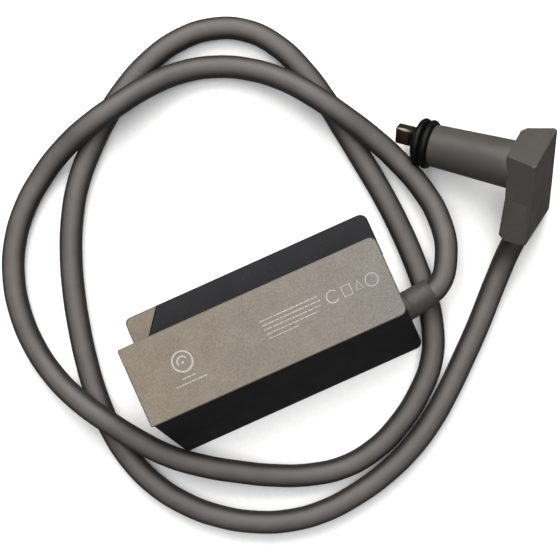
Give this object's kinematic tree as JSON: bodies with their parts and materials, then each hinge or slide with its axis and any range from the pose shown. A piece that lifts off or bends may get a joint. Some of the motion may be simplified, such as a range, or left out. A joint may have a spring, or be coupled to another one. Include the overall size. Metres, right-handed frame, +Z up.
{
  "type": "in-line network adapter",
  "caption": "Flat in-line network adapter box with a jack at one end, a captive round cable in two loose turns and a sealed right-angle plug.",
  "frame": {"origin": "bottom centre of the box without its cable, on the surface it lies on", "axes": "+X along the box towards the cable end, +Y towards the box's low ledge, +Z up"},
  "size_m": [0.1715, 0.1552, 0.0325],
  "materials": {
    "aluminium_can": "satin",
    "black_plastic": "matte",
    "board_laminate": "matte",
    "cable_sheath": "satin",
    "charcoal_plastic": "satin",
    "connector_metal": "satin",
    "ferrite": "matte",
    "gold": "polished",
    "seal_rubber": "satin",
    "silver_plastic": "satin",
    "steel": "satin",
    "white_plastic": "matte",
    "wire_insulation": "satin"
  },
  "bodies": {
    "adapter": {"base_shell": "charcoal_plastic", "board_screw_1": "steel", "board_screw_2": "steel", "board_screw_3": "steel", "cable_boot": "charcoal_plastic", "cable_clamp": "steel", "cable_ferrule": "steel", "cable_jacket": "cable_sheath", "capacitor_a": "aluminium_can", "capacitor_b": "aluminium_can", "choke_core": "ferrite", "clamp_screw": "steel", "connector_shell": "connector_metal", "connector_tongue": "black_plastic", "contact_strip_a": "gold", "contact_strip_b": "gold", "elbow_housing": "charcoal_plastic", "label_cover": "silver_plastic", "magnetics_a": "black_plastic", "magnetics_b": "black_plastic", "main_pcb": "board_laminate", "nose_collar": "black_plastic", "o_ring_front": "seal_rubber", "o_ring_rear": "seal_rubber", "plug_barrel": "charcoal_plastic", "port_bezel": "silver_plastic", "rj45_housing": "black_plastic", "rj45_shield": "steel", "surge_array": "black_plastic", "wire_header": "white_plastic", "wire_pair_1": "wire_insulation", "wire_pair_2": "wire_insulation", "wire_pair_3": "wire_insulation", "wire_pair_4": "wire_insulation"},
    "jack_contacts": {"rj45_contact_1": "gold", "rj45_contact_2": "gold", "rj45_contact_3": "gold", "rj45_contact_4": "gold", "rj45_contact_5": "gold", "rj45_contact_6": "gold", "rj45_contact_7": "gold", "rj45_contact_8": "gold"}
  },
  "joints": [
    {"name": "contact_flex", "type": "hinge", "parent": "adapter", "child": "jack_contacts", "pos_m": [-0.0338, 0.0015, 0.0054], "axis": [0, 1, 0], "range_deg": [0, 10], "stiffness_Nm_per_rad": 0.06}
  ]
}
